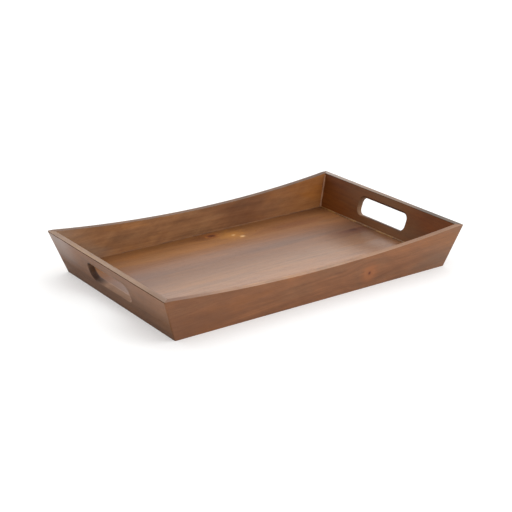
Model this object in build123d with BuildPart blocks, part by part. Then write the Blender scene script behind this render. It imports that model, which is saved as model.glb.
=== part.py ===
from build123d import *

import math
import os

# A rectangular wooden serving tray: four splayed walls, mitred at the corners around a
# base of glued boards. The long sides dip in the middle and each end has a hand hole.
# The origin is on the ground under the middle of the tray. +X runs along the tray
# towards the right end, +Y towards the back and +Z up. All sizes are millimetres.

# Outline of the walls
top_length = 508.0
top_width = 324.0
corner_height = 63.5
end_flare = 22.5
side_flare = 14.2
board_thickness = 9.0
side_dip = 13.5

# Eased outer edges of the walls
corner_easing = 2.5
foot_easing = 1.2

# Base of edge-glued boards, held by a tongue in a groove around the walls
base_underside = 4.0
base_thickness = 8.0
stave_count = 5
tongue_thickness = 4.0
groove_depth = 4.0
swelling_gap = 0.5

# Hand holes, measured where each hole is narrowest
handle_length = 109.0
handle_height = 27.0
handle_easing = 2.5
handle_drop = 1.0

# Hidden splines, one glued across each mitre
spline_width = 6.0
spline_thickness = 2.0
spline_below_rim = 12.0
spline_above_groove = 4.0
glue_gap = 0.1

# Sizes worked out from those above
bottom_length = top_length - 2 * end_flare
bottom_width = top_width - 2 * side_flare
end_tilt = math.atan(end_flare / corner_height)
side_tilt = math.atan(side_flare / corner_height)
end_rim = board_thickness / math.cos(end_tilt)
side_rim = board_thickness / math.cos(side_tilt)
floor_height = base_underside + base_thickness
tongue_bottom = base_underside + (base_thickness - tongue_thickness) / 2
tongue_top = tongue_bottom + tongue_thickness
spline_bottom = tongue_top + spline_above_groove
spline_top = corner_height - spline_below_rim


def inner_length(height):
    """Clear length between the inner faces of the two ends at a height."""
    return bottom_length - 2 * end_rim + 2 * end_flare * height / corner_height


def inner_width(height):
    """Clear width between the inner faces of the two long sides at a height."""
    return bottom_width - 2 * side_rim + 2 * side_flare * height / corner_height


groove_length = inner_length(tongue_top) + 2 * groove_depth
groove_width = inner_width(tongue_top) + 2 * groove_depth
tongue_length = groove_length - 2 * swelling_gap
tongue_width = groove_width - 2 * swelling_gap
stave_width = tongue_width / stave_count


def end_plane(x_side, inset):
    """Face of an end, moved inwards by a level distance; its normal points outwards."""
    foot = Vector(x_side * (bottom_length / 2 - inset), 0, 0)
    return Plane(origin=foot, x_dir=(0, 1, 0), z_dir=(x_side * corner_height, 0, -end_flare))


def side_plane(y_side, inset):
    """Face of a long side, moved inwards likewise; its normal points outwards."""
    foot = Vector(0, y_side * (bottom_width / 2 - inset), 0)
    return Plane(origin=foot, x_dir=(1, 0, 0), z_dir=(0, y_side * corner_height, -side_flare))


def splay_block(end_inset, side_inset):
    """Leans the four faces of the block being built, as the walls lean."""
    for sign in (-1, 1):
        split(bisect_by=end_plane(sign, end_inset), keep=Keep.BOTTOM)
        split(bisect_by=side_plane(sign, side_inset), keep=Keep.BOTTOM)


def corner_climb(x_side, y_side):
    """Direction in which the corner with these signs of x and y climbs."""
    return Vector(x_side * end_flare, y_side * side_flare, corner_height).normalized()


def corner_middle(x_side, y_side, height):
    """Middle of a corner's mitre at a height."""
    share = height / corner_height
    return Vector(
        x_side * (bottom_length / 2 + end_flare * share - end_rim / 2),
        y_side * (bottom_width / 2 + side_flare * share - side_rim / 2),
        height,
    )


def mitre_plane(x_side, y_side):
    """Plane of a corner's mitre; its normal points to the end board."""
    climb = corner_climb(x_side, y_side)
    across = Vector(x_side * end_rim, y_side * side_rim, 0)
    normal = across.cross(climb) * (x_side * y_side)
    return Plane(origin=corner_middle(x_side, y_side, 0), x_dir=climb, z_dir=normal)


def spline_plane(x_side, y_side):
    """Middle of a corner's spline: x lies across the mitre and z climbs the corner."""
    middle = corner_middle(x_side, y_side, (spline_bottom + spline_top) / 2)
    across = mitre_plane(x_side, y_side).z_dir
    return Plane(origin=middle, x_dir=across, z_dir=corner_climb(x_side, y_side))


spline_length = (spline_top - spline_bottom) / corner_climb(1, 1).Z


def is_upright(edge):
    """True for an edge that climbs the whole height of the walls."""
    return edge.bounding_box().size.Z > corner_height / 2


# The four walls as one ring, before they are parted at the mitres
block_size = (2 * top_length, 2 * top_width, corner_height)
on_ground = (Align.CENTER, Align.CENTER, Align.MIN)

with BuildPart() as hollow:
    Box(*block_size, align=on_ground)
    splay_block(end_rim, side_rim)

with BuildPart() as ring:
    Box(*block_size, align=on_ground)
    splay_block(0, 0)
    fillet(ring.edges().filter_by(is_upright), corner_easing)
    fillet(ring.faces().sort_by(Axis.Z)[0].edges(), foot_easing)
    add(hollow.part, mode=Mode.SUBTRACT)


def cut_wall_joints(corners):
    """Saws the base's groove and the corners' spline slots out of the wall being built."""
    with Locations((0, 0, (tongue_bottom + tongue_top) / 2)):
        Box(groove_length, groove_width, tongue_thickness, mode=Mode.SUBTRACT)
    for corner in corners:
        with Locations(spline_plane(*corner)):
            Box(
                spline_width + 2 * glue_gap,
                spline_thickness,
                spline_length + 2 * glue_gap,
                mode=Mode.SUBTRACT,
            )


def make_side(name, y_side):
    """Long side: a mitred board whose top edge dips in an arc between the corners."""
    corners = [(-1, y_side), (1, y_side)]
    half_dip = inner_length(corner_height) / 2
    with BuildPart() as side:
        add(ring.part)
        split(bisect_by=Plane.XZ, keep=Keep.BOTTOM if y_side > 0 else Keep.TOP)
        for corner in corners:
            split(bisect_by=mitre_plane(*corner), keep=Keep.BOTTOM)
        with BuildSketch(Plane.XZ):
            with BuildLine():
                dip_start = (-half_dip, corner_height)
                dip_end = (half_dip, corner_height)
                ThreePointArc(dip_start, (0, corner_height - side_dip), dip_end)
                Line(dip_end, dip_start)
            make_face()
        extrude(amount=top_width, both=True, mode=Mode.SUBTRACT)
        cut_wall_joints(corners)
    side.part.label = name
    export_step(side.part, f"parts/{name}.step")


# The hand holes sit on the middle of the end boards' thickness, square to their faces
handle_level = (floor_height + corner_height) / 2 - handle_drop

# Two ends of an edge this close in depth count as level with each other
depth_tolerance = 0.01


def handle_plane(x_side):
    """Middle of an end's hand hole: x lies level along the board, z points outwards."""
    middle = Vector(
        x_side * (bottom_length / 2 + end_flare * handle_level / corner_height - end_rim / 2),
        0,
        handle_level,
    )
    return Plane(origin=middle, x_dir=(0, 1, 0), z_dir=end_plane(x_side, 0).z_dir)


def lies_on_face(edge, hole_plane):
    """True for an edge of the hand hole that lies in one face of the board."""
    ends = [hole_plane.to_local_coords(edge @ along).Z for along in (0, 1)]
    return math.isclose(ends[0], ends[1], abs_tol=depth_tolerance)


def make_end(name, x_side):
    """End: a mitred board with a round-ended hand hole, rounded over on both faces."""
    corners = [(x_side, -1), (x_side, 1)]
    hole_plane = handle_plane(x_side)
    with BuildPart() as end:
        add(ring.part)
        split(bisect_by=Plane.YZ, keep=Keep.TOP if x_side > 0 else Keep.BOTTOM)
        for corner in corners:
            split(bisect_by=mitre_plane(*corner), keep=Keep.TOP)
        before = end.edges()
        with BuildSketch(hole_plane):
            SlotOverall(handle_length, handle_height)
        extrude(amount=board_thickness, both=True, mode=Mode.SUBTRACT)
        mouth_edges = (end.edges() - before).filter_by(lambda edge: lies_on_face(edge, hole_plane))
        fillet(mouth_edges, handle_easing)
        cut_wall_joints(corners)
    end.part.label = name
    export_step(end.part, f"parts/{name}.step")


def make_stave(number):
    """One board of the base, counted from the front, cut from the tongued panel."""
    name = f"base_stave_{number}"
    middle_y = (number - (stave_count + 1) / 2) * stave_width
    with BuildPart() as stave:
        with Locations((0, 0, base_underside)):
            Box(top_length, top_width, base_thickness, align=on_ground)
        splay_block(end_rim, side_rim)
        with Locations((0, 0, tongue_bottom)):
            Box(tongue_length, tongue_width, tongue_thickness, align=on_ground)
        with Locations((0, middle_y, 0)):
            Box(top_length, stave_width, corner_height, align=on_ground, mode=Mode.INTERSECT)
    stave.part.label = name
    export_step(stave.part, f"parts/{name}.step")


def make_spline(name, x_side, y_side):
    """Hidden strip glued into the slots of two boards across their mitre."""
    with BuildPart() as spline:
        with Locations(spline_plane(x_side, y_side)):
            Box(spline_width, spline_thickness, spline_length)
    spline.part.label = name
    export_step(spline.part, f"parts/{name}.step")


os.makedirs("parts", exist_ok=True)
make_side("front_side", -1)
make_side("back_side", 1)
make_end("left_end", -1)
make_end("right_end", 1)
for number in range(1, stave_count + 1):
    make_stave(number)
for x_side, x_name in ((-1, "left"), (1, "right")):
    for y_side, y_name in ((-1, "front"), (1, "back")):
        make_spline(f"spline_{y_name}_{x_name}", x_side, y_side)
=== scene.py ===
"""Looks of an acacia serving tray: splayed mitred walls around a base of glued boards."""

import logging
import math
import random
from collections.abc import Callable, Iterator
from contextlib import contextmanager
from dataclasses import dataclass
from enum import Enum
from typing import Any

import bmesh
import bpy
from mathutils import Matrix, Vector


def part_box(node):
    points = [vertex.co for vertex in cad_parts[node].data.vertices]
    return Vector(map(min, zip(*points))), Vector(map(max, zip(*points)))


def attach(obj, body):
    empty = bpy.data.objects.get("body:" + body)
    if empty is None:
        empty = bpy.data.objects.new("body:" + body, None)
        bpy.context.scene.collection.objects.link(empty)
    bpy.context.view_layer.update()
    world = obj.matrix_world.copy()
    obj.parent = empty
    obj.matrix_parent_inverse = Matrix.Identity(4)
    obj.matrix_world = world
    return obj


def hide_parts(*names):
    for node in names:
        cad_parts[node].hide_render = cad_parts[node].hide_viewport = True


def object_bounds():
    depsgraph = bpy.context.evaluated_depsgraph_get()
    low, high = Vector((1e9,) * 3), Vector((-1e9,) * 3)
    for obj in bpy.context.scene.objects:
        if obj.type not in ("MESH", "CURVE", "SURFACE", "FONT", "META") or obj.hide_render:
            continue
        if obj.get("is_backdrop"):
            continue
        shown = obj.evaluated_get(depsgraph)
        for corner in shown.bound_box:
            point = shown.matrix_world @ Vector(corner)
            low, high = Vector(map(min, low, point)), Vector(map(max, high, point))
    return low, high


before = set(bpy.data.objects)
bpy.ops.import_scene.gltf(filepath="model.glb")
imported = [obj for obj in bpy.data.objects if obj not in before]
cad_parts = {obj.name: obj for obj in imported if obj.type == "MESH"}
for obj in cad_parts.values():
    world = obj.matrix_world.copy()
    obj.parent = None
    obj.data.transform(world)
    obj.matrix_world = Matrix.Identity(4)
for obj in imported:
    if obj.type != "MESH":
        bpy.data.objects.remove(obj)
log = logging.getLogger("serving_tray")

Tint = tuple[float, float, float]
Place = tuple[float, float, float]
Drift = tuple[tuple[float, Tint], ...]
PointTest = Callable[[Vector], bool]
PairTest = Callable[[Vector, Vector], bool]

MARGIN = 0.001
SAME_LEVEL = 1e-5


# --- Sizes ---


@dataclass(frozen=True)
class TrayForm:
    """Outline of the tray in metres; the outer sizes and the floor come from the frame."""

    half_length: float
    half_width: float
    height: float
    floor: float
    end_flare: float = 0.0225
    side_flare: float = 0.0142
    board: float = 0.009
    dip: float = 0.0135
    corner_easing: float = 0.0025
    foot_easing: float = 0.0012

    @classmethod
    def from_frame(cls) -> "TrayForm":
        """Returns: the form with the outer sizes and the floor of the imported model."""
        low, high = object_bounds()
        return cls(high[0], high[1], high[2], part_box("base_stave_1")[1].z)

    def slant(self, flare: float) -> float:
        """Returns: the tilt of a wall with this flare, in radians from upright."""
        return math.atan(flare / self.height)

    def rim(self, flare: float) -> float:
        """Returns: the level thickness of a wall with this flare."""
        return self.board / math.cos(self.slant(flare))


class Run(Enum):
    """Which way a wall runs."""

    LENGTHWISE = "along x"
    CROSSWISE = "along y"


# --- Modelling bench ---


def deselect_all() -> None:
    """Leaves nothing selected and nothing active, in object mode."""
    bpy.ops.object.select_all(action="DESELECT")
    bpy.context.view_layer.objects.active = None


class Part(Enum):
    """What is picked in edit mode."""

    POINT = "VERT"
    EDGE = "EDGE"
    FACE = "FACE"


class Bench:
    """One mesh being modelled: a block that is sawn, divided and eased in edit mode."""

    merge_gap = 1e-6
    smooth_below = math.radians(35)

    def __init__(self, name: str) -> None:
        """Takes the primitive just added, names it and puts its place in its mesh."""
        self.piece = bpy.context.object
        self.piece.name = name
        self.piece.data.name = name
        bpy.ops.object.transform_apply(location=True, rotation=True, scale=True)

    @classmethod
    def block(cls, name: str, low: Vector, high: Vector, tilt: float = 0.0) -> "Bench":
        """Sets a block on a bench.

        Args:
            name: name of the piece.
            low: lowest corner of the block before it is tilted.
            high: highest corner of the block before it is tilted.
            tilt: turn of the block about the y axis through its middle, in radians.

        Returns:
            The bench with the block on it.
        """
        deselect_all()
        bpy.ops.mesh.primitive_cube_add(
            size=1.0, location=(low + high) / 2, rotation=(0.0, tilt, 0.0), scale=high - low
        )
        return cls(name)

    def take_up(self) -> None:
        """Makes the piece the active one and the only one selected."""
        deselect_all()
        self.piece.select_set(True)
        bpy.context.view_layer.objects.active = self.piece

    @contextmanager
    def editing(self) -> Iterator[None]:
        """Opens the piece in edit mode with nothing selected, and closes it again."""
        self.take_up()
        bpy.ops.object.mode_set(mode="EDIT")
        bpy.ops.mesh.select_all(action="DESELECT")
        yield
        bpy.ops.object.mode_set(mode="OBJECT")

    def pick(self, kind: Part, wanted: Callable[[Any], bool]) -> int:
        """Selects points, edges or faces of the open mesh.

        Args:
            kind: which of them.
            wanted: says whether one is wanted.

        Returns:
            How many are selected.
        """
        bpy.ops.mesh.select_mode(type=kind.value)
        mesh = bmesh.from_edit_mesh(self.piece.data)
        parts = {Part.POINT: mesh.verts, Part.EDGE: mesh.edges, Part.FACE: mesh.faces}[kind]
        for part in parts:
            part.select_set(wanted(part))
        mesh.select_flush_mode()
        bmesh.update_edit_mesh(self.piece.data)
        return sum(part.select for part in parts)

    def pick_edges(self, test: PairTest) -> int:
        """Selects edges; test is given the places of each one's two ends. Returns how many."""
        return self.pick(Part.EDGE, lambda edge: test(edge.verts[0].co, edge.verts[1].co))

    def pick_points(self, test: PointTest) -> None:
        """Selects points; test is given each one's place."""
        self.pick(Part.POINT, lambda point: test(point.co))

    def pick_faces(self, test: PairTest) -> None:
        """Selects faces; test is given each one's middle and normal."""
        self.pick(Part.FACE, lambda face: test(face.calc_center_median(), face.normal))

    def paint(self, material: bpy.types.Material, test: PairTest) -> None:
        """Gives the wanted faces a further material of their own."""
        self.piece.data.materials.append(material)
        with self.editing():
            self.pick_faces(test)
            self.piece.active_material_index = len(self.piece.data.materials) - 1
            bpy.ops.object.material_slot_assign()

    def saw(self, point: Vector, normal: Vector) -> None:
        """Saws off what lies on the normal's side of a plane and closes the cut."""
        with self.editing():
            bpy.ops.mesh.select_all(action="SELECT")
            bpy.ops.mesh.bisect(plane_co=point, plane_no=normal, use_fill=True, clear_outer=True)

    def divide(self, test: PairTest, cuts: int) -> None:
        """Divides the wanted edges, and the faces between them, by a number of cuts."""
        with self.editing():
            self.pick_edges(test)
            bpy.ops.mesh.subdivide(number_cuts=cuts)

    def ease(self, test: PairTest, width: float, steps: int) -> None:
        """Rounds the wanted edges over by a width, in a number of steps."""
        with self.editing():
            count = self.pick_edges(test)
            if not count:
                raise ValueError(f"no edge of {self.piece.name} was picked to ease")
            bpy.ops.mesh.bevel(
                offset=width, offset_type="WIDTH", segments=steps, affect="EDGES", clamp_overlap=True
            )

    def subtract(self, cutter: "Bench") -> None:
        """Cuts another bench's piece out of this one and clears that piece away."""
        cut = self.piece.modifiers.new("cut", "BOOLEAN")
        cut.operation = "DIFFERENCE"
        cut.solver = "EXACT"
        cut.object = cutter.piece
        self.apply(cut)
        bpy.data.objects.remove(cutter.piece)

    def apply(self, modifier: bpy.types.Modifier) -> None:
        """Applies one modifier of the piece."""
        self.take_up()
        bpy.ops.object.modifier_apply(modifier=modifier.name)

    def finish(self) -> bpy.types.Object:
        """Merges doubles, turns normals outwards and smooths the rounded edges.

        Returns:
            The finished object, at the origin, with its place in its mesh.
        """
        with self.editing():
            bpy.ops.mesh.select_all(action="SELECT")
            bpy.ops.mesh.remove_doubles(threshold=self.merge_gap)
            bpy.ops.mesh.normals_make_consistent(inside=False)
        self.piece.select_set(True)
        bpy.ops.object.shade_smooth_by_angle(angle=self.smooth_below)
        weighted = self.piece.modifiers.new("weighted", "WEIGHTED_NORMAL")
        weighted.keep_sharp = True
        self.apply(weighted)
        return self.piece


# --- Shader bench ---


def srgb(red: int, green: int, blue: int) -> Tint:
    """Returns: the linear colour of a display colour whose parts run from 0 to 255."""
    parts = (value / 255 for value in (red, green, blue))
    return tuple(p / 12.92 if p <= 0.04045 else ((p + 0.055) / 1.055) ** 2.4 for p in parts)


class Wire:
    """A socket's output in an expression: arithmetic on it adds Math nodes."""

    def __init__(self, desk: "Desk", socket: bpy.types.NodeSocket) -> None:
        """Wraps an output socket of a node on a desk."""
        self.desk = desk
        self.socket = socket

    def math(self, operation: str, *others: Any) -> "Wire":
        """Returns: the result of a Math node whose first value is this wire."""
        return self.desk.node("Math", {"operation": operation}, self, *others)["Value"]

    def __add__(self, other: Any) -> "Wire":
        """Returns: the sum."""
        return self.math("ADD", other)

    __radd__ = __add__

    def __mul__(self, other: Any) -> "Wire":
        """Returns: the product."""
        return self.math("MULTIPLY", other)

    __rmul__ = __mul__

    def __sub__(self, other: Any) -> "Wire":
        """Returns: this less the other."""
        return self.math("SUBTRACT", other)

    def __rsub__(self, other: Any) -> "Wire":
        """Returns: the other less this."""
        return self.desk.node("Math", {"operation": "SUBTRACT"}, other, self)["Value"]

    def __truediv__(self, other: Any) -> "Wire":
        """Returns: this divided by the other."""
        return self.math("DIVIDE", other)

    def __pow__(self, other: Any) -> "Wire":
        """Returns: this to the power of the other."""
        return self.math("POWER", other)

    def swing(self, amount: float = 1.0) -> "Wire":
        """Returns: how far a noise is from its middle value, times an amount."""
        return (self - 0.5) * amount

    def step(self, low: float, high: float) -> "Wire":
        """Returns: 0 below one value and 1 above the other, smoothly between; either way up."""
        settings = {"interpolation_type": "SMOOTHSTEP"}
        if low < high:
            return self.desk.node("MapRange", settings, self, low, high, 0.0, 1.0)["Result"]
        return self.desk.node("MapRange", settings, self, high, low, 1.0, 0.0)["Result"]


class Desk:
    """A node tree while it is drawn up: a material's or the world's."""

    def __init__(self, owner: bpy.types.Material | bpy.types.World) -> None:
        """Starts with an empty tree of that owner."""
        owner.use_nodes = True
        self.owner = owner
        self.tree = owner.node_tree
        self.tree.nodes.clear()

    def node(self, kind: str, settings: dict[str, Any], *values: Any, **named: Any) -> dict[str, Wire]:
        """Adds a node of any type.

        Args:
            kind: the node's type after its Shader Node prefix.
            settings: its properties, set before its sockets; stops fills a colour ramp.
            values: numbers, tuples or wires for its inputs, in order; None skips one.
            named: the same for inputs by name, with _ for a space.

        Returns:
            The node's outputs in use, by name, as wires.
        """
        added = self.tree.nodes.new(f"ShaderNode{kind}")
        for key, value in settings.items():
            if key == "stops":
                self.fill_ramp(added.color_ramp, value)
            else:
                setattr(added, key, value)
        inputs = [socket for socket in added.inputs if socket.enabled]
        by_name = {socket.name: socket for socket in inputs}
        pairs = list(zip(inputs, values))
        pairs += [(by_name[key.replace("_", " ")], value) for key, value in named.items()]
        for socket, value in pairs:
            self.feed(socket, value)
        return {socket.name: Wire(self, socket) for socket in added.outputs if socket.enabled}

    def feed(self, socket: bpy.types.NodeSocket, value: Any) -> None:
        """Sets an input to a number or a tuple, or links a wire to it."""
        if value is None:
            return
        if isinstance(value, Wire):
            self.tree.links.new(value.socket, socket)
        elif isinstance(value, tuple) and socket.type == "RGBA":
            socket.default_value = (*value, 1.0)
        else:
            socket.default_value = value

    @staticmethod
    def fill_ramp(ramp: bpy.types.ColorRamp, stops: list[tuple[float, Tint]]) -> None:
        """Fills a colour ramp with stops of place and colour."""
        while len(ramp.elements) < len(stops):
            ramp.elements.new(0.5)
        for element, (place, tint) in zip(ramp.elements, stops):
            element.position = place
            element.color = (*tint, 1.0)

    def noise(self, point: Wire, detail: float = 2.0, rough: float = 0.5, scale: float = 1.0) -> Wire:
        """Returns: the value of a noise texture, about 0.5 in the middle."""
        settings = {"normalize": True}
        made = self.node("TexNoise", settings, Vector=point, Scale=scale, Detail=detail, Roughness=rough)
        return next(wire for name, wire in made.items() if name.startswith("Fac"))

    def join(self, x: Any, y: Any, z: Any) -> Wire:
        """Returns: a vector of three numbers or wires."""
        return self.node("CombineXYZ", {}, x, y, z)["Vector"]

    def blend(self, mask: Any, first: Any, second: Any, kind: str = "MIX") -> Wire:
        """Returns: two colours mixed by a mask, in a Mix node's blending kind."""
        settings = {"data_type": "RGBA", "blend_type": kind, "clamp_factor": True}
        return self.node("Mix", settings, mask, first, second)["Result"]

    def principled(self, **sockets: Any) -> bpy.types.Material:
        """Closes the tree with a Principled shader of these sockets. Returns: the material."""
        self.node("OutputMaterial", {}, self.node("BsdfPrincipled", {}, **sockets)["BSDF"])
        return self.owner


# --- Finishes ---

STRAND_SHARE = 0.42
FINE_RING_SHARE = 0.32
SLOW_SHARE = 0.22
PORE_SHARE = 0.40
RINGING_SHARE = 0.18
CORE_SHARE = 0.92
FIBRE_DEPTH = 0.00012
FIBRE_STRENGTH = 0.35
SLOW_LIMITS = (0.40, 0.68)
AMBER_LIMITS = (0.52, 0.68)
DUSKY_LIMITS = (0.48, 0.32)
PORE_LIMITS = (0.60, 0.72)
LINE_LIMITS = (0.46, 0.60)
FLECK_LIMITS = (0.58, 0.70)
LINE_WIDTH = 0.035


@dataclass(frozen=True)
class Spot:
    """A place on a board: along, across and through it, and across it as the grain bends."""

    desk: Desk
    along: Wire
    across: Wire
    depth: Wire
    bent: Wire


@dataclass(frozen=True)
class Knot:
    """A knot in a board: where it is, along and across the face, and how large."""

    along: float
    across: float
    core: float
    halo: float
    halo_tint: Tint
    core_tint: Tint
    stretch: float = 1.0
    flecks: float = 0.0
    dull: float = 0.0
    share: float = 0.72

    def bend(self, along: Wire, across: Wire, bent: Wire) -> Wire:
        """Returns: the place across the board, bent so that the grain flows round the knot."""
        run = (along - self.along) / (self.halo * 1.9 * self.stretch)
        rise = (across - self.across) / (self.halo * 1.15)
        pull = (run * run + rise * rise).step(1.8, 0.0)
        return bent - (across - self.across) * pull * 0.6

    def distance(self, spot: Spot) -> Wire:
        """Returns: the distance from the knot's middle, unevenly measured."""
        place = spot.desk.join(spot.along * 34.0, spot.across * 260.0, self.along * 50.0)
        run = (spot.along - self.along) / self.stretch
        rise = spot.across - self.across
        return (run * run + rise * rise) ** 0.5 * (spot.desk.noise(place, 4.0, 0.65).swing(1.5) + 1.0)

    def dim(self, spot: Spot, coat: Any) -> Any:
        """Returns: a coat's weight, less near the knot if that is dull."""
        if not self.dull:
            return coat
        near = self.distance(spot).step(self.halo, self.core)
        return coat * (1.0 - near * self.dull)

    def paint(self, spot: Spot, colour: Wire) -> Wire:
        """Returns: the colour with the knot's halo, rings, flecks and core painted in."""
        desk, distance = spot.desk, self.distance(spot)
        halo = distance.step(self.halo * 1.15, self.halo * 0.1)
        ringing = (distance / (self.core * 0.7)).math("SINE") * 0.5 + 0.5
        core = distance.step(self.core * 1.3, self.core * 0.35)
        colour = desk.blend(halo * self.share, colour, self.halo_tint)
        colour = desk.blend(halo * ringing * RINGING_SHARE, colour, self.core_tint)
        if self.flecks:
            place = desk.join(spot.along * 190.0, spot.bent * 420.0, spot.across * 60.0)
            wide = distance.step(self.halo * 2.2, self.halo * 0.6) * self.flecks
            sparks = desk.noise(place, 2.0, 0.6).step(*FLECK_LIMITS)
            colour = desk.blend(sparks * wide, colour, self.halo_tint)
        return desk.blend(core * CORE_SHARE, colour, self.core_tint)


@dataclass(frozen=True)
class Wood:
    """Tints of one board: its pale, usual and dark grain, and its amber and dusky parts."""

    light: Tint
    middle: Tint
    dark: Tint
    amber: Tint
    dusky: Tint

    @classmethod
    def around(cls, middle: Tint) -> "Wood":
        """Returns: tints about a middle one."""

        def times(*shares: float) -> Tint:
            """Returns: the middle tint with each part changed by a share."""
            return tuple(part * (1 + share) for part, share in zip(middle, shares))

        return cls(
            light=times(0.50, 0.56, 0.62),
            middle=middle,
            dark=times(-0.42, -0.48, -0.52),
            amber=times(0.16, 0.06, -0.26),
            dusky=times(-0.10, -0.01, 0.10),
        )


@dataclass(frozen=True)
class Grain:
    """How a board lies in its log: an offset of the pattern, and the shape of the rings."""

    seed: float
    pith_across: float = 0.05
    pith_depth: float = 0.035
    slope: float = 0.02
    ring: float = 0.0042
    wander: float = 0.010
    bands: float = 0.55
    figure: float = 0.30
    lines: float = 0.22
    hue: float = 0.7


@dataclass(frozen=True)
class Lacquer:
    """Satin lacquer over the wood: how sharp and how strong its reflection is."""

    roughness: float = 0.36
    index: float = 1.40
    coat: float = 0.0
    coat_roughness: float = 0.25


@dataclass(frozen=True)
class Sweep:
    """A gradual change over a board: places in metres, in order, and the tint at each."""

    stops: Drift

    @classmethod
    def grey(cls, *stops: tuple[float, float]) -> "Sweep":
        """Returns: a sweep of greys, from pairs of a place and a value."""
        return cls(tuple((place, (value, value, value)) for place, value in stops))

    def at(self, desk: Desk, place: Wire) -> Wire:
        """Returns: the tint at a place."""
        start, end = self.stops[0][0], self.stops[-1][0]
        stops = [((where - start) / (end - start), tint) for where, tint in self.stops]
        return desk.node("ValToRGB", {"stops": stops}, (place - start) / (end - start))["Color"]


@dataclass(frozen=True)
class Sheen:
    """How the coat of lacquer varies: across the board, and by a gain towards one end."""

    across: Sweep
    gain: float = 0.0
    start: float = 0.0
    full: float = 0.0

    def weight(self, spot: Spot) -> Wire:
        """Returns: the coat's weight at a place on the board."""
        gained = spot.along.step(self.start, self.full) * self.gain + 1.0
        return self.across.at(spot.desk, spot.across) * gained


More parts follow.
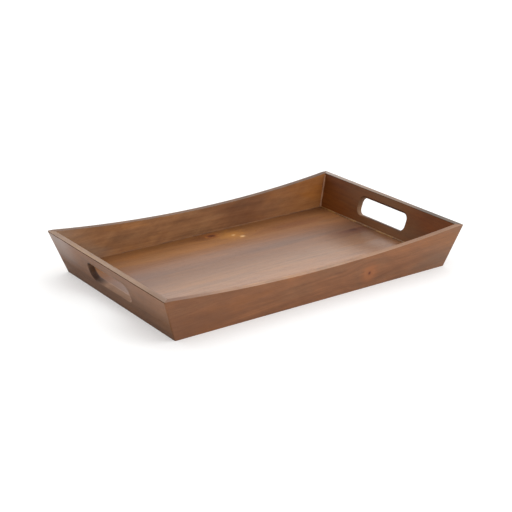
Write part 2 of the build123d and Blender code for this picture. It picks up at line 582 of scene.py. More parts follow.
@dataclass(frozen=True)
class AcaciaFinish:
    """Satin-lacquered acacia: colours of the wood and how its grain runs; some of its tints are painted
    light and shade.
    """

    name: str
    wood: Wood
    grain: Grain
    knots: tuple[Knot, ...] = ()
    lacquer: Lacquer = Lacquer()
    # Tints at places along the board: on some boards tone of the wood, on others painted light and
    # painted shade.
    drift: Drift = ()
    drift_reach: float = 0.25
    drift_lean: float = 0.9
    drift_hold: float = 0.45
    drift_share: float = 0.8
    # Multiplied into the colour across the board: painted light and painted shade.
    light_and_shade_sweep: Sweep | None = None
    sheen: Sheen | None = None

    def plain(
        self, part: str, wood: Wood, lacquer: Lacquer, drift: Drift = (), reach: float = 0.25
    ) -> "AcaciaFinish":
        """Returns: this grain on a small part, in other wood and lacquer, without knots.

        Args:
            part: name of the part.
            wood: its tints.
            lacquer: its lacquer.
            drift: other tints at places along it.
            reach: how far each of those reaches.
        """
        name = f"{self.name}_{part}"
        return AcaciaFinish(
            name,
            wood,
            self.grain,
            lacquer=lacquer,
            drift=drift,
            drift_reach=reach,
            drift_lean=0.0,
            drift_hold=0.1,
            drift_share=1.0,
        )

    def make(self, axes: Matrix, origin: Vector) -> bpy.types.Material:
        """Draws up the material.

        Args:
            axes: the board's own directions as rows: along, across and through it.
            origin: the middle of the board's face.

        Returns:
            The material, whose pattern lies along the board.
        """
        desk = Desk(bpy.data.materials.new(self.name))
        place = desk.node("TexCoord", {})["Object"]
        move, turn = tuple(-(axes @ origin)), tuple(axes.to_euler())
        turned = desk.node("Mapping", {"vector_type": "POINT"}, place, move, turn)["Vector"]
        parts = desk.node("SeparateXYZ", {}, turned)
        along, across = parts["X"], parts["Y"]
        bent = across
        for knot in self.knots:
            bent = knot.bend(along, across, bent)
        spot = Spot(desk, along, across, parts["Z"], bent)
        rings, slow, lines = self.rings(spot)
        strands, pores = self.fibres(spot)
        tone = rings + strands.swing(STRAND_SHARE) + self.ripple(spot).swing(self.grain.figure)
        stops = [(0.2, self.wood.dark), (0.5, self.wood.middle), (0.8, self.wood.light)]
        colour = self.drift_tone_and_shade(spot, desk.node("ValToRGB", {"stops": stops}, tone)["Color"])
        colour = self.turn_hue(spot, colour)
        colour = desk.blend(slow.step(*SLOW_LIMITS) * SLOW_SHARE, colour, self.wood.light)
        colour = desk.blend(lines * self.grain.lines, colour, self.wood.light)
        colour = desk.blend(pores * PORE_SHARE, colour, self.wood.dark)
        # Painted light and shade across the board, multiplied into the colour.
        if self.light_and_shade_sweep:
            colour = desk.blend(1.0, colour, self.light_and_shade_sweep.at(desk, across), "MULTIPLY")
        lacquer = self.lacquer
        coat = self.sheen.weight(spot) if self.sheen else lacquer.coat
        for knot in self.knots:
            colour = knot.paint(spot, colour)
            coat = knot.dim(spot, coat)
        height = strands * 0.5 - pores + rings * 0.25
        bump = desk.node("Bump", {}, Strength=FIBRE_STRENGTH, Distance=FIBRE_DEPTH, Height=height)
        return desk.principled(
            Base_Color=colour,
            Roughness=strands.swing(0.10) + pores * 0.12 + slow.swing(0.16) + lacquer.roughness,
            IOR=lacquer.index,
            Normal=bump["Normal"],
            Coat_Weight=coat,
            Coat_Roughness=lacquer.coat_roughness,
        )

    def turn_hue(self, spot: Spot, colour: Wire) -> Wire:
        """Returns: the colour turned amber in some parts of the board and dusky in others."""
        desk = spot.desk
        level = spot.depth * 30.0 + self.grain.seed * 2
        hue_at = desk.join(spot.along * 10.0 - spot.across * 12.0, spot.bent * 36.0, level)
        hue = desk.noise(hue_at, 3.0, 0.6)

        def turned(tint: Tint) -> Wire:
            """Returns: the colour times a tint's share of the wood's usual one."""
            share = tuple(part / base for part, base in zip(tint, self.wood.middle))
            return desk.blend(1.0, colour, share, "MULTIPLY")

        warm, cool = turned(self.wood.amber), turned(self.wood.dusky)
        colour = desk.blend(hue.step(*AMBER_LIMITS) * self.grain.hue, colour, warm)
        return desk.blend(hue.step(*DUSKY_LIMITS) * self.grain.hue, colour, cool)

    def rings(self, spot: Spot) -> tuple[Wire, Wire, Wire]:
        """Returns: the growth rings' tone, a slow drift of tone, and a mask of thin pale lines."""
        desk, grain, along, bent = spot.desk, self.grain, spot.along, spot.bent
        sway_at = desk.join(along * 4.0 + grain.seed, bent * 9.0, spot.depth * 9.0 + grain.seed)
        sway = desk.noise(sway_at, 3.0).swing(grain.wander * 2.0)
        lean = bent - grain.pith_across - along * grain.slope + sway
        thick = spot.depth - grain.pith_depth
        turn = (lean * lean + thick * thick) ** 0.5 / grain.ring
        bands = desk.noise(desk.join(turn * 0.42, along * 1.6 + grain.seed, 0.0), 3.0, 0.6)
        fine = desk.noise(desk.join(turn * 2.6, along * 5.0, grain.seed))
        slow = desk.noise(desk.join(along * 5.0, bent * 16.0, spot.depth * 16.0 + grain.seed))
        tone = bands.swing(grain.bands) + fine.swing(FINE_RING_SHARE) + 0.5
        edge = fine.swing().math("ABSOLUTE").step(LINE_WIDTH, 0.0)
        return tone, slow, edge * slow.step(*LINE_LIMITS)

    def fibres(self, spot: Spot) -> tuple[Wire, Wire]:
        """Returns: the fine fibres' tone and a mask of the open pores."""
        desk, seed = spot.desk, self.grain.seed
        strands_at = desk.join(spot.along * 14.0 + seed, spot.bent * 380.0, spot.depth * 380.0)
        pores_at = desk.join(spot.along * 120.0, spot.bent * 1500.0, spot.depth * 1500.0 + seed)
        return desk.noise(strands_at, 4.0, 0.6), desk.noise(pores_at, 1.0).step(*PORE_LIMITS)

    def ripple(self, spot: Spot) -> Wire:
        """Returns: the ripple that crosses the grain and catches the light."""
        along, bent, level = spot.along, spot.bent, spot.depth * 20.0 + self.grain.seed
        waves = spot.desk.join(along * 30.0 + bent * 52.0, bent * 40.0 - along * 9.0, level)
        return spot.desk.noise(waves, 3.0, 0.6)

    def drift_tone_and_shade(self, spot: Spot, colour: Wire) -> Wire:
        """Returns: the colour drifted towards other tints at places along the board: tone of the wood,
        or painted light and shade.
        """
        if not self.drift:
            return colour
        desk = spot.desk
        sway = desk.noise(desk.join(spot.along * 12.0, spot.across * 30.0, self.grain.seed), 3.0)
        at = spot.along + sway.swing(0.12) - spot.across * self.drift_lean
        for where, tint in self.drift:
            near = ((at - where) / self.drift_reach).math("ABSOLUTE").step(0.5, 0.0)
            held = desk.blend(self.drift_hold, tint, colour)
            colour = desk.blend(near * self.drift_share, colour, held)
        return colour


@dataclass(frozen=True)
class BeadFinish:
    """Clear lacquer and glue that gathered in an inner joint: honey-coloured and glossy."""

    name: str
    tint: Tint = srgb(132, 88, 50)
    deep: Tint = srgb(106, 68, 38)
    gloss: float = 0.32
    index: float = 1.38

    def make(self) -> bpy.types.Material:
        """Returns: the material, uneven in colour and gloss along the bead."""
        desk = Desk(bpy.data.materials.new(self.name))
        place = desk.node("TexCoord", {})["Object"]
        cloud = desk.noise(place, 3.0, 0.6, scale=55.0)
        colour = desk.blend(cloud.step(0.38, 0.62), self.deep, self.tint)
        lumps = desk.noise(place, scale=260.0)
        bump = desk.node("Bump", {}, Strength=0.4, Distance=0.0003, Height=lumps)["Normal"]
        gloss = cloud * 0.2 + self.gloss
        return desk.principled(Base_Color=colour, Roughness=gloss, IOR=self.index, Normal=bump)


# --- Walls ---

OUTER_HALF = 0.55
RIM_FACING = 0.96
FLAT_FACING = 0.97


@dataclass
class Wall:
    """One splayed board of the frame: sawn from a block, mitred and eased."""

    name: str
    node: str
    form: TrayForm
    sign: int
    finish: AcaciaFinish
    # Tint of the upward rim faces: painted light and painted sheen of the top-lit rim.
    rim_painted_light_wood: Wood
    run: Run = Run.LENGTHWISE
    corner_steps: int = 5
    # How dark the painted shade on the rim's eased edges is, as a share of the board's wood.
    arris_shade: float = 0.6
    arris_lacquer: Lacquer = Lacquer()
    arris_from: float = 0.42
    rim_lacquer: Lacquer = Lacquer(0.40, 1.28)
    # Tints along the rim, part of its painted light and shade: lighter or darker towards its ends.
    rim_light_and_shade_drift: Drift = ()
    rim_easing: float = 0.0008
    rim_steps: int = 3
    rim_slope: float = 0.004
    foot_steps: int = 4

    def place(self, along: float, outward: float, height: float) -> Vector:
        """Returns: the point so far along the wall, out from the middle, and up."""
        if self.run is Run.LENGTHWISE:
            return Vector((along, self.sign * outward, height))
        return Vector((self.sign * outward, along, height))

    @property
    def flare(self) -> float:
        """How far this wall leans out over its height."""
        return self.form.side_flare if self.run is Run.LENGTHWISE else self.form.end_flare

    @property
    def mate_flare(self) -> float:
        """How far the walls at its two ends lean out."""
        return self.form.end_flare if self.run is Run.LENGTHWISE else self.form.side_flare

    @property
    def half_run(self) -> float:
        """Half of the wall's length along its rim."""
        return self.form.half_length if self.run is Run.LENGTHWISE else self.form.half_width

    @property
    def reach(self) -> float:
        """How far the outer edge of its rim is from the tray's middle."""
        return self.form.half_width if self.run is Run.LENGTHWISE else self.form.half_length

    def face_normal(self) -> Vector:
        """Returns: the outward normal of the outer face."""
        return self.place(0.0, self.form.height, -self.flare).normalized()

    def mate_normal(self, end: int) -> Vector:
        """Returns: the outward normal of the next wall's outer face, at one end."""
        return self.place(end * self.form.height, 0.0, -self.mate_flare).normalized()

    def corner(self, end: int, height: float) -> Vector:
        """Returns: the point of an outer corner edge at a height."""
        drop = 1 - height / self.form.height
        along = end * (self.half_run - self.mate_flare * drop)
        return self.place(along, self.reach - self.flare * drop, height)

    def saw_faces(self, bench: Bench) -> None:
        """Saws the block to the board's two leaning faces."""
        form = self.form
        foot = self.reach - self.flare
        normal = self.face_normal()
        bench.saw(self.place(0.0, foot, 0.0), normal)
        bench.saw(self.place(0.0, foot - form.rim(self.flare), 0.0), -normal)

    def saw_ends(self, bench: Bench) -> None:
        """Saws both mitres and rounds this board's share of each upright corner."""
        form = self.form
        for end in (-1, 1):
            low, high = self.corner(end, 0.0), self.corner(end, form.height)
            across = self.place(end * form.rim(self.mate_flare), form.rim(self.flare), 0.0)
            mitre = across.cross(high - low).normalized()
            if mitre.dot(self.place(end, 0.0, 0.0)) < 0:
                mitre.negate()
            bench.saw(low, mitre)
            face, mate = self.face_normal(), self.mate_normal(end)
            middle = low - (face + mate) * form.corner_easing / (1 + face.dot(mate))
            for step in range(self.corner_steps):
                turn = (step + 0.5) / self.corner_steps / 2
                normal = face.slerp(mate, turn)
                bench.saw(middle + normal * form.corner_easing, normal)

    def on_outside(self, point: Vector) -> bool:
        """True for a point on the outer face or on a rounded corner."""
        inner = self.place(0.0, self.reach - self.flare - self.form.rim(self.flare), 0.0)
        return (point - inner).dot(self.face_normal()) > self.form.board * OUTER_HALF

    def ease_edges(self, bench: Bench) -> None:
        """Rounds the outer foot edge and both edges of the rim."""
        form = self.form
        tip = form.height - form.dip - MARGIN

        def is_foot(a: Vector, b: Vector) -> bool:
            """True for the outer edge of the foot."""
            on_ground = max(a.z, b.z) < SAME_LEVEL
            return on_ground and self.on_outside(a) and self.on_outside(b)

        def is_rim(a: Vector, b: Vector) -> bool:
            """True for an edge along the rim, outer or inner."""
            same_side = self.on_outside(a) == self.on_outside(b)
            return min(a.z, b.z) > tip and same_side and abs(a.z - b.z) < self.rim_slope

        bench.ease(is_foot, form.foot_easing, self.foot_steps)
        bench.ease(is_rim, self.rim_easing, self.rim_steps)

    def axes(self) -> Matrix:
        """Returns: the board's own directions as rows: along, up its face, outwards."""
        outwards = self.face_normal()
        along = self.place(1.0, 0.0, 0.0)
        up = outwards.cross(along)
        if up.z < 0:
            along.negate()
            up.negate()
        return Matrix((along, up, outwards))

    def build(self) -> None:
        """Builds the wall, dresses it and lets it ride on the frame."""
        form = self.form
        rim = form.rim(self.flare)
        a = self.place(-self.half_run, self.reach - self.flare - rim - MARGIN, 0.0)
        b = self.place(self.half_run, self.reach + MARGIN, form.height)
        low = Vector(map(min, a, b))
        high = Vector(map(max, a, b))
        bench = Bench.block(self.name, low, high)
        self.saw_faces(bench)
        self.shape(bench)
        self.saw_ends(bench)
        self.ease_edges(bench)
        self.pierce(bench)
        piece = bench.finish()
        middle = self.place(0.0, self.reach - self.flare, 0.0)
        piece.data.materials.append(self.finish.make(self.axes(), middle))
        # The upward rim faces get their own tint: painted light and sheen of the top-lit rim.
        painted_light_finish = self.finish.plain("rim", self.rim_painted_light_wood, self.rim_lacquer, self.rim_light_and_shade_drift)
        bench.paint(painted_light_finish.make(self.axes(), middle), lambda _, normal: normal.z > RIM_FACING)
        # Painted shade: the eased edges at the rim get a darker copy of the board's wood, for the shaded
        # round-over.
        shaded_arris_wood = Wood.around(tuple(part * self.arris_shade for part in self.finish.wood.middle))
        arris = self.finish.plain("arris", shaded_arris_wood, self.arris_lacquer)
        eased = form.height - form.dip - 2 * MARGIN
        bench.paint(
            arris.make(self.axes(), middle),
            lambda spot, normal: spot.z > eased and self.arris_from < normal.z < RIM_FACING,
        )
        self.paint_details(bench, middle)
        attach(piece, "root")
        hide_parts(self.node)
        log.info("%s: %d faces", self.name, len(piece.data.polygons))

    def shape(self, bench: Bench) -> None:
        """Shapes the board's top edge; a plain wall keeps it straight."""

    def pierce(self, bench: Bench) -> None:
        """Pierces the board; a plain wall stays whole."""

    def paint_details(self, bench: Bench, origin: Vector) -> None:
        """Gives further faces their own finish; a plain wall has none."""


@dataclass
class DippedSide(Wall):
    """Long side, whose rim dips in an arc between the inner corners."""

    stations: int = 99

    def drop(self, along: float) -> float:
        """Returns: how far the rim lies below the corners at a place along the side."""
        form = self.form
        half_chord = self.half_run - form.rim(self.mate_flare)
        if abs(along) >= half_chord:
            return 0.0
        radius = (half_chord**2 + form.dip**2) / (2 * form.dip)
        return math.sqrt(radius**2 - along**2) - (radius - form.dip)

    def shape(self, bench: Bench) -> None:
        """Divides the board along its length and lowers each station of its rim."""
        form = self.form
        bench.divide(lambda a, b: abs(a.x - b.x) > self.half_run, self.stations)
        gap = 2 * self.half_run / (self.stations + 1)
        with bench.editing():
            for number in range(1, self.stations + 1):
                along = -self.half_run + number * gap
                fall = self.drop(along)
                if fall <= 0:
                    continue

                def is_station(point: Vector, x: float = along) -> bool:
                    """True for this station's points on the rim."""
                    return abs(point.x - x) < gap / 4 and point.z > form.height - SAME_LEVEL

                bench.pick_points(is_station)
                lean = self.flare / form.height * fall
                bpy.ops.transform.translate(value=self.place(0.0, -lean, -fall))


@dataclass
class HandledEnd(Wall):
    """End board, with a round-ended hand hole rounded over on both faces."""

    run: Run = Run.CROSSWISE
    hole_length: float = 0.109
    hole_height: float = 0.027
    hole_easing: float = 0.0025
    hole_drop: float = 0.001
    # On the ends the painted shade on the rim's edges is deeper and reaches lower, under a dull lacquer
    # of low index that reflects little.
    arris_shade: float = 0.30
    arris_lacquer: Lacquer = Lacquer(0.6, 1.12)
    arris_from: float = -0.15
    rim_easing: float = 0.0012
    hole_steps: int = 14
    hole_roundness: float = 0.995
    mouth_steps: int = 6
    mouth_margin: float = 0.0002
    # Tint of the hand hole's surface, and tints along it: painted light and painted shade.
    throat_light_and_shade_wood: Wood | None = None
    throat_lacquer: Lacquer = Lacquer(0.5, 1.25)
    throat_light_and_shade_drift: Drift = ()
    throat_reach: float = 0.07

    def hole_middle(self) -> Vector:
        """Returns: the middle of the hand hole, at half the board's thickness."""
        form = self.form
        level = (form.floor + form.height) / 2 - self.hole_drop
        out = self.reach - self.flare * (1 - level / form.height) - form.rim(self.flare) / 2
        return self.place(0.0, out, level)

    def near_hole(self, point: Vector) -> bool:
        """True for a point of the hand hole's surface, its rounded mouths included."""
        offset = point - self.hole_middle()
        margin = self.hole_easing + self.mouth_margin
        rise = abs(offset.dot(self.axes()[1]))
        return abs(offset.y) < self.hole_length / 2 + margin and rise < self.hole_height / 2 + margin

    def paint_details(self, bench: Bench, origin: Vector) -> None:
        """Gives the hand hole's surface its own wood, with painted light and shade in it."""
        if self.throat_light_and_shade_wood is None:
            return
        painted_light_finish = self.finish.plain(
            "hole", self.throat_light_and_shade_wood, self.throat_lacquer, self.throat_light_and_shade_drift, self.throat_reach
        )
        outwards = self.face_normal()
        bench.paint(
            painted_light_finish.make(self.axes(), origin),
            lambda spot, normal: self.near_hole(spot) and abs(normal.dot(outwards)) < FLAT_FACING,
        )

    def pierce(self, bench: Bench) -> None:
        """Cuts the hand hole square to the faces and rounds its mouths."""
        form = self.form
        middle = self.hole_middle()
        half = Vector((form.board, self.hole_length / 2, self.hole_height / 2))
        tilt = self.sign * form.slant(self.flare)
        cutter = Bench.block("hole_cutter", middle - half, middle + half, tilt)
        outwards = self.face_normal()
        rounding = self.hole_height / 2 * self.hole_roundness
        cutter.ease(lambda a, b: abs((a - b).dot(outwards)) > form.board, rounding, self.hole_steps)
        bench.subtract(cutter)

        def is_mouth(a: Vector, b: Vector) -> bool:
            """True for an edge of the hole that lies in a face of the board."""
            level = abs((a - b).dot(outwards)) < form.board / 2
            return level and self.near_hole(a) and self.near_hole(b)

        bench.ease(is_mouth, self.hole_easing * math.sqrt(2), self.mouth_steps)


# --- Beads ---


@dataclass
class Bead:
    """An uneven bead of lacquer along an inner joint, from one point to another."""

    name: str
    start: Vector
    end: Vector
    thickness: float
    seed: int
    finish: BeadFinish
    stations: int = 40
    sides: int = 12
    unevenness: float = 0.10
    long_wave: float = 7.3
    short_wave: float = 19.0

    def build(self) -> None:
        """Builds the bead and lets it ride on the frame."""
        run = self.end - self.start
        deselect_all()
        bpy.ops.mesh.primitive_cylinder_add(
            vertices=self.sides,
            radius=self.thickness,
            depth=run.length,
            location=(self.start + self.end) / 2,
            rotation=run.to_track_quat("Z", "Y").to_euler(),
        )
        bench = Bench(self.name)
        bench.divide(lambda a, b: (a - b).length > run.length * 0.9, self.stations)
        chance = random.Random(self.seed)
        with bench.editing():
            for number in range(self.stations + 2):
                share = number / (self.stations + 1)
                middle = self.start + run * share

                def is_station(point: Vector, spot: Vector = middle) -> bool:
                    """True for the ring of points about this station."""
                    return abs((point - spot).dot(run)) < 0.25 * run.length_squared / self.stations

                bench.pick_points(is_station)
                wave = math.sin(share * self.short_wave + self.seed)
                wave += math.sin(share * self.long_wave + 2 * self.seed)
                swell = 1 + self.unevenness * (chance.random() - 0.5 + wave)
                bpy.ops.transform.resize(value=(swell, swell, swell), center_override=middle)
        piece = bench.finish()
        piece.data.materials.append(self.finish.make())
        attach(piece, "root")
        log.info("%s: %d faces", self.name, len(piece.data.polygons))


@dataclass
class Beads:
    """The beads in the four upright corners and along the four edges of the floor."""

    form: TrayForm
    upright: float = 0.0017
    level: float = 0.0010
    proud: float = 0.35
    stop: float = 0.0022
    honey_share: float = 1.5

    def inner(self, x_side: int, y_side: int, height: float, lift: float) -> Vector:
        """Returns: the point of an inner corner at a height, drawn in by a lift."""
        form = self.form
        drop = 1 - height / form.height
        x = form.half_length - form.end_flare * drop - form.rim(form.end_flare) - lift
        y = form.half_width - form.side_flare * drop - form.rim(form.side_flare) - lift
        return Vector((x_side * x, y_side * y, height))

    def build(self) -> None:
        """Builds all eight beads."""
        form = self.form
        pale = BeadFinish("bead_upright", srgb(162, 115, 82), srgb(134, 90, 60), 0.3, 1.42)
        honey = BeadFinish("bead_honey", srgb(144, 102, 52), srgb(106, 68, 34), 0.28, 1.42)
        plain = BeadFinish("bead_level")
        rise = self.upright * self.proud
        run = self.level * self.proud
        signs = ((-1, -1), (1, -1), (1, 1), (-1, 1))
        for number, corner in enumerate(signs, start=1):
            foot = self.inner(*corner, form.floor + rise, rise)
            top = self.inner(*corner, form.height - self.stop, rise)
            Bead(f"corner_bead_{number}", foot, top, self.upright, 11 + number, pale).build()
            start = self.inner(*corner, form.floor + run, run)
            following = signs[number % len(signs)]
            end = self.inner(*following, form.floor + run, run)
            at_right = corner[0] > 0 and following[0] > 0
            finish = honey if at_right else plain
            width = self.level * (self.honey_share if at_right else 1.0)
            Bead(f"floor_bead_{number}", start, end, width, 31 + number, finish).build()


# --- Base and splines ---


def dress_node(node: str, material: bpy.types.Material) -> None:
    """Gives one of the frame's own pieces a material in place of its plain one."""
    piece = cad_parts[node]
    piece.data.materials.clear()
    piece.data.materials.append(material)
    log.info("%s: dressed", node)


@dataclass
class Base:
    """The floor of glued boards: the frame's own solids, each with its own wood."""

    finishes: list[AcaciaFinish]

    def dress(self) -> None:
        """Gives each base board its finish, the grain along the tray."""
        for number, finish in enumerate(self.finishes, start=1):
            dress_node(f"base_stave_{number}", finish.make(Matrix.Identity(3), Vector()))


@dataclass
class Splines:
    """The keys let into the four mitres: the frame's own solids, in a paler wood."""

    finish: AcaciaFinish

    def dress(self) -> None:
        """Gives each spline the finish."""
        material = self.finish.make(Matrix.Identity(3), Vector())
        for corner in ("front_left", "front_right", "back_left", "back_right"):
            dress_node(f"spline_{corner}", material)


# --- Studio ---


@dataclass(frozen=True)
class SoftBox:
    """A rectangular soft light: where it hangs, what it faces, its size and power."""

    name: str
    place: Place
    aim: Place
    width: float
    depth: float
    power: float

    def hang(self) -> None:
        """Hangs the light."""
        lamp = bpy.data.lights.new(self.name, "AREA")
        lamp.shape = "RECTANGLE"
        lamp.size = self.width
        lamp.size_y = self.depth
        lamp.energy = self.power
        holder = bpy.data.objects.new(self.name, lamp)
        holder.location = self.place
        facing = Vector(self.aim) - Vector(self.place)
        holder.rotation_euler = facing.to_track_quat("-Z", "Y").to_euler()
        holder.visible_camera = False
        bpy.context.scene.collection.objects.link(holder)


@dataclass(frozen=True)
class Sky:
    """Pale surroundings: an even level, and a brighter part in one direction."""

    level: float
    glow: float
    towards: Place
    inner: float = 0.85
    outer: float = 0.1

    def spread(self) -> None:
        """Sets the surroundings."""
        world = bpy.data.worlds.new("studio_sky")
        desk = Desk(world)
        direction = desk.node("TexCoord", {})["Generated"]
        towards = tuple(Vector(self.towards).normalized())
        facing = desk.node("VectorMath", {"operation": "DOT_PRODUCT"}, direction, towards)["Value"]
        strength = facing.step(self.outer, self.inner) * self.glow + self.level
        background = desk.node("Background", {}, (1.0, 1.0, 1.0), strength)["Background"]
        desk.node("OutputWorld", {}, background)
        bpy.context.scene.world = world


@dataclass
class Studio:
    """Plain pale floor, soft lights and the camera."""

    sky: Sky
    lights: list[SoftBox]
    azimuth: float = -35.05
    elevation: float = 20.90
    distance: float = 1.861
    aim: Place = (-0.0032, -0.0023, 0.0211)
    lens: float = 90.1
    sensor: float = 36.0
    sight: float = 100.0
    floor_size: float = 80.0
    floor_tint: Tint = (0.70, 0.70, 0.695)
    floor_roughness: float = 0.9
    floor_glow: float = 0.32

    def lay_floor(self) -> None:
        """Lays the floor and marks it as stage."""
        deselect_all()
        bpy.ops.mesh.primitive_plane_add(size=self.floor_size, location=(0.0, 0.0, 0.0))
        floor = bpy.context.object
        floor.name = "studio_floor"
        pale = Desk(bpy.data.materials.new("studio_floor")).principled(
            Base_Color=self.floor_tint,
            Roughness=self.floor_roughness,
            Emission_Color=(1.0, 1.0, 1.0),
            Emission_Strength=self.floor_glow,
        )
        floor.data.materials.append(pale)
        floor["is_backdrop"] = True

    def point_camera(self) -> None:
        """Sets up the camera at its azimuth, elevation and distance from the tray."""
        turn, rise = math.radians(self.azimuth), math.radians(self.elevation)
        level = math.cos(rise)
        back = Vector((math.sin(turn) * level, -math.cos(turn) * level, math.sin(rise)))
        camera = bpy.data.cameras.new("camera")
        camera.lens = self.lens
        camera.sensor_width = self.sensor
        camera.clip_end = self.sight
        holder = bpy.data.objects.new("camera", camera)
        holder.location = Vector(self.aim) + back * self.distance
        holder.rotation_euler = back.to_track_quat("Z", "Y").to_euler()
        bpy.context.scene.collection.objects.link(holder)
        bpy.context.scene.camera = holder

    def build(self) -> None:
        """Builds the whole set, shown without any film look."""
        self.lay_floor()
        self.sky.spread()
        for box in self.lights:
            box.hang()
        self.point_camera()
        bpy.context.scene.view_settings.view_transform = "Standard"


# --- The tray ---


def front_finish() -> AcaciaFinish:
    """Returns: the front board's finish: reddish brown, with one knot."""
    return AcaciaFinish(
        "acacia_front",
        Wood.around(srgb(122, 76, 44)),
        Grain(3.1, slope=0.10, figure=0.45),
        knots=(Knot(0.085, 0.024, 0.0026, 0.020, srgb(156, 92, 48), srgb(80, 26, 10)),),
        lacquer=Lacquer(0.36, 1.36),
        drift=((0.22, srgb(120, 90, 68)), (-0.24, srgb(92, 56, 34))),
    )


def back_finish() -> AcaciaFinish:
    """Returns: the back board's finish: strongly figured, from grey brown to honey."""
    return AcaciaFinish(
        "acacia_back",
        Wood.around(srgb(138, 94, 58)),
        Grain(7.7, figure=0.8, lines=0.34),
        lacquer=Lacquer(0.36, 1.35),
        drift=((0.26, srgb(180, 182, 172)), (-0.12, srgb(86, 38, 18)), (-0.27, srgb(164, 98, 36))),
    )


def left_finish() -> AcaciaFinish:
    """Returns: the left board's finish: darker wood, partly painted shade of a face turned from the
    light, with more painted shade at the foot, painted light towards the rim, and a sheen of the coat
    towards the rim.
    """
    coated = Sweep.grey((0.0, 0.0), (0.022, 0.0), (0.036, 0.14), (0.060, 0.25))
    return AcaciaFinish(
        "acacia_left",
        Wood.around(srgb(104, 68, 42)),
        Grain(12.4),
        lacquer=Lacquer(0.38, 1.12, 0.0, 0.30),
        # Painted shade at the foot, painted light towards the rim.
        light_and_shade_sweep=Sweep.grey((0.0, 0.66), (0.018, 0.80), (0.036, 1.0), (0.064, 1.25)),
        sheen=Sheen(coated, 2.2, -0.07, -0.13),
    )


def right_finish() -> AcaciaFinish:
    """Returns: the right board's finish: deep red brown, greyer near the front; the depth of its colour
    is partly painted shade of a face turned from the light.
    """
    return AcaciaFinish(
        "acacia_right",
        Wood.around(srgb(101, 53, 17)),
        Grain(18.9),
        lacquer=Lacquer(0.40, 1.26),
        drift=((-0.045, srgb(122, 92, 64)),),
    )


def walls(form: TrayForm) -> list[Wall]:
    """Returns: the four walls, each with its finish and its rim, whose own tint is painted light and
    sheen.
    """
    return [
        DippedSide(
            "front_board",
            "front_side",
            form,
            -1,
            front_finish(),
            Wood.around(srgb(148, 108, 78)),
            rim_light_and_shade_drift=((0.17, srgb(112, 76, 50)), (-0.23, srgb(94, 54, 26))),
        ),
        DippedSide(
            "back_board",
            "back_side",
            form,
            1,
            back_finish(),
            Wood.around(srgb(98, 68, 46)),
            rim_lacquer=Lacquer(0.45, 1.25),
        ),
        HandledEnd(
            "left_board",
            "left_end",
            form,
            -1,
            left_finish(),
            Wood.around(srgb(134, 104, 80)),
            rim_light_and_shade_drift=((0.15, srgb(106, 78, 60)),),
            # The hole's surface paler as painted light on its lower face, its far end dark as painted
            # shade.
            throat_light_and_shade_wood=Wood.around(srgb(130, 98, 76)),
            throat_light_and_shade_drift=((-0.058, srgb(38, 14, 5)),),
        ),
        HandledEnd(
            "right_board",
            "right_end",
            form,
            1,
            right_finish(),
            Wood.around(srgb(132, 104, 82)),
            # Painted sheen towards the far end of this rim, and darker towards the near end.
            rim_light_and_shade_drift=((0.15, srgb(146, 130, 120)), (-0.09, srgb(84, 64, 50)), (-0.17, srgb(10, 8, 6))),
            # The hole's surface dark as painted shade, with a painted highlight at its far end.
            throat_light_and_shade_wood=Wood.around(srgb(84, 52, 30)),
            throat_light_and_shade_drift=((0.058, srgb(140, 104, 76)),),
        ),
    ]


def back_knots() -> tuple[Knot, ...]:
    """Returns: what marks the rearmost base board: a knot, a golden patch, streaks and specks."""
    speck = srgb(226, 184, 132)
    deep, reddish = srgb(90, 48, 20), srgb(90, 44, 20)
    return (
        Knot(-0.012, 0.126, 0.0001, 0.013, srgb(104, 58, 24), deep, 1.8, 0.6, 0.7, 0.6),
        Knot(0.004, 0.1270, 0.0054, 0.013, srgb(150, 86, 40), srgb(70, 22, 4), 1.3, 0.5, 0.95),
        Knot(0.032, 0.112, 0.0001, 0.019, srgb(180, 122, 54), srgb(120, 74, 34), 1.6, 1.0, 0.6),
        Knot(0.140, 0.097, 0.0001, 0.020, srgb(106, 56, 28), reddish, 4.0, 0.0, 0.5, 0.5),
        Knot(0.034, 0.111, 0.0012, 0.0026, speck, speck, 1.6),
        Knot(0.043, 0.099, 0.0020, 0.0040, speck, speck, 1.2),
    )


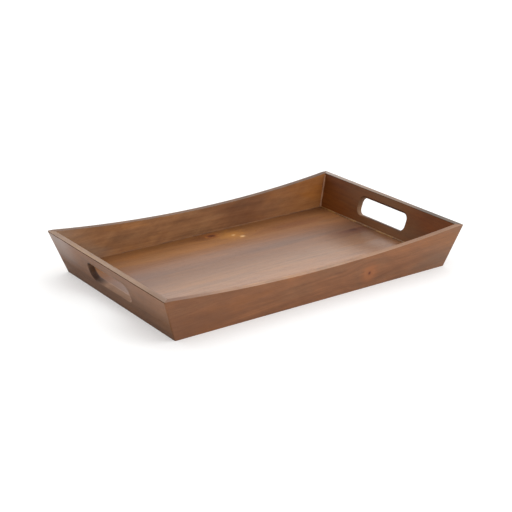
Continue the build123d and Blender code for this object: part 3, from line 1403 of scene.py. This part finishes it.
def base_finishes() -> list[AcaciaFinish]:
    """Returns: the five base boards' finishes, from front to back, with painted shade and sheen in their
    colour.
    """
    streak = Knot(0.200, 0.025, 0.0036, 0.024, srgb(84, 40, 20), srgb(60, 26, 12), 2.2, dull=0.95)
    knots = {3: (streak,), 5: back_knots()}
    # Painted shade on the floor: beside the left and right walls, and towards the back-right corner on
    # the rearmost board.
    painted_shade_left = (-0.240, srgb(112, 80, 62))
    painted_shade_right = (0.235, srgb(84, 42, 18))
    painted_shade_back = ((0.235, srgb(96, 50, 20)), (0.135, srgb(90, 48, 20)), painted_shade_left)
    # Painted shade and sheen across the floor: darker beside the back wall and in the middle, a cool
    # painted sheen towards the front.
    painted_shade_and_sheen = Sweep(
        (
            (-0.131, (1.0, 1.0, 1.15)),
            (-0.050, (1.0, 1.0, 1.10)),
            (-0.020, (0.78, 0.80, 0.95)),
            (0.010, (0.62, 0.62, 0.80)),
            (0.040, (0.62, 0.60, 0.78)),
            (0.070, (0.88, 0.84, 0.90)),
            (0.092, (1.0, 0.98, 0.92)),
            (0.112, (0.90, 0.86, 0.78)),
            (0.131, (0.66, 0.60, 0.50)),
        )
    )
    front_coat = ((-0.131, 0.62), (-0.060, 0.60), (-0.020, 0.49))
    coated = Sweep.grey(*front_coat, (0.020, 0.30), (0.060, 0.33), (0.100, 0.24), (0.131, 0.02))
    tints = ((142, 95, 54), (142, 96, 54), (146, 97, 52), (140, 94, 53), (142, 94, 50))
    finishes = []
    for number, tint in enumerate(tints, start=1):
        grain = Grain(
            20.0 + 3.7 * number,
            pith_across=0.2 - 0.05 * number,
            pith_depth=-0.04,
            bands=0.26,
            figure=0.22,
            lines=0.11,
            hue=0.4,
        )
        finishes.append(
            AcaciaFinish(
                f"acacia_base_{number}",
                Wood.around(srgb(*tint)),
                grain,
                knots.get(number, ()),
                Lacquer(0.46, 1.38, 0.45, 0.18),
                (painted_shade_right, painted_shade_left) if number < len(tints) else painted_shade_back,
                drift_lean=0.15,
                light_and_shade_sweep=painted_shade_and_sheen,
                sheen=Sheen(coated, -0.4 if number < 3 else -0.9, 0.10, 0.19),
            )
        )
    return finishes


def main() -> None:
    """Builds the tray's looks around the frame, then the studio."""
    logging.basicConfig(level=logging.INFO, format="%(name)s %(message)s")
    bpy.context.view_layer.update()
    form = TrayForm.from_frame()
    for wall in walls(form):
        wall.build()
    Beads(form).build()
    Base(base_finishes()).dress()
    Splines(AcaciaFinish("acacia_spline", Wood.around(srgb(170, 128, 84)), Grain(5.0))).dress()
    Studio(
        Sky(0.86, 0.60, (0.46, 0.66, 0.60)),
        [SoftBox("key", (1.1, -1.6, 1.6), (0.0, 0.0, 0.0), 1.6, 1.4, 14.0)],
    ).build()


if __name__ == "__main__":
    main()
